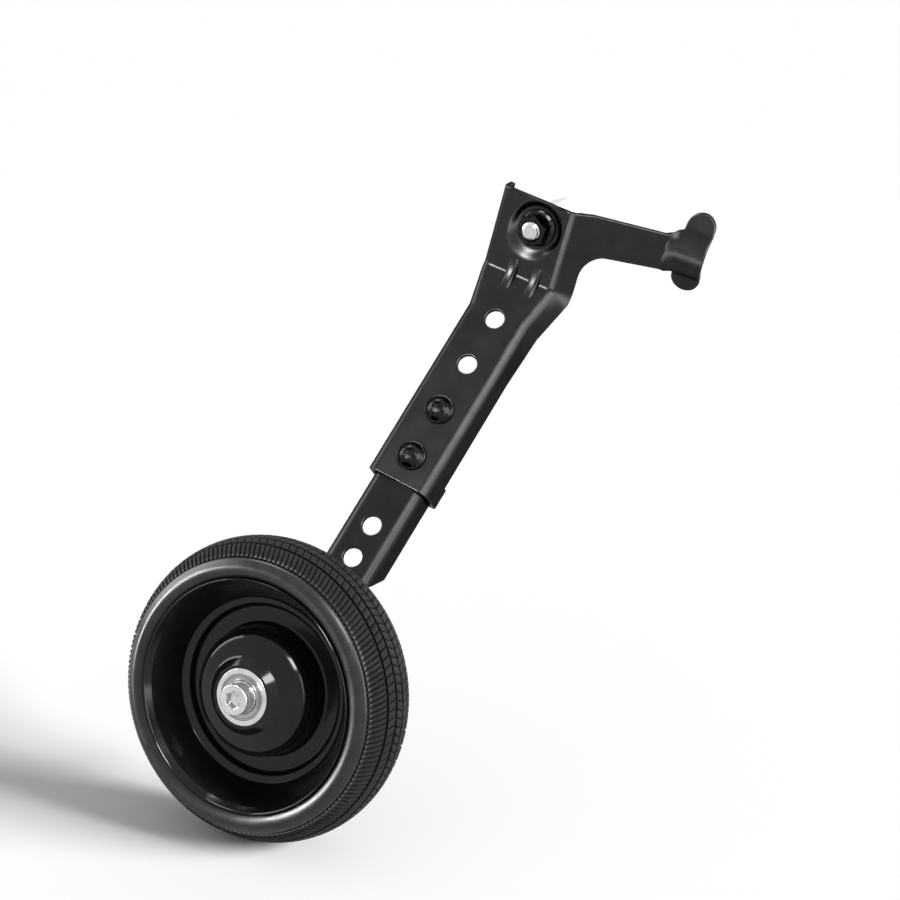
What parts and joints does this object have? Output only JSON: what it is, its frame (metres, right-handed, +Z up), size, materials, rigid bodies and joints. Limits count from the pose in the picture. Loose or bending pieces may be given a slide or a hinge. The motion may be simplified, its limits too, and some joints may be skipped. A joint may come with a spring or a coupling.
{
  "type": "bicycle training wheel",
  "caption": "Right-hand bicycle training wheel: folded bracket for the rear axle with an arm that saddles the chain stay, a telescoping channel arm, and a cambered ball-bearing wheel.",
  "frame": {"origin": "centre of the coupler's threaded mouth, on the line of the bicycle's rear axle", "axes": "+X the way the bicycle goes, +Y inward to the bicycle, -Y outward to its right, +Z up"},
  "size_m": [0.2365, 0.2579, 0.3173],
  "materials": {
    "black_coat": "satin black powder coat",
    "black_steel": "glossy black oxide",
    "bright_steel": "bright zinc plate",
    "bearing_steel": "ground bright steel",
    "tyre": "matt black rubber",
    "rim": "high gloss black"
  },
  "bodies": {
    "bracket_arm": {"mounting_bracket": "black_coat", "lower_arm": "black_coat", "bearing_spacer": "bright_steel", "axle_extension": "bright_steel", "wheel_axle_bolt": "bright_steel", "foot_bush": "bright_steel", "lock_washer": "bright_steel", "lock_nut": "bright_steel", "axle_nut": "black_steel", "clamp_bolts": "black_steel", "clamp_washers": "black_steel", "clamp_nuts": "black_steel", "outer_bearing_inner_ring": "bearing_steel", "inner_bearing_inner_ring": "bearing_steel"},
    "wheel": {"tyre": "tyre", "rim": "rim", "outer_bearing_outer_ring": "bearing_steel", "inner_bearing_outer_ring": "bearing_steel", "outer_bearing_shields": "bearing_steel", "inner_bearing_shields": "bearing_steel"},
    "ball_sets": {"outer_bearing_balls": "bearing_steel", "inner_bearing_balls": "bearing_steel", "outer_bearing_cage": "bearing_steel", "inner_bearing_cage": "bearing_steel"}
  },
  "joints": [
    {"name": "wheel_spin", "type": "hinge", "parent": "bracket_arm", "child": "wheel", "pos_m": [-0.07621, -0.19962, -0.21696], "axis": [0, -0.9744, 0.225], "continuous": true},
    {"name": "ball_set_turn", "type": "hinge", "parent": "bracket_arm", "child": "ball_sets", "pos_m": [-0.07621, -0.19962, -0.21696], "axis": [0, -0.9744, 0.225], "continuous": true}
  ],
  "couplings": [
    {"joint": "ball_set_turn", "follows": "wheel_spin", "ratio": 0.61753}
  ]
}
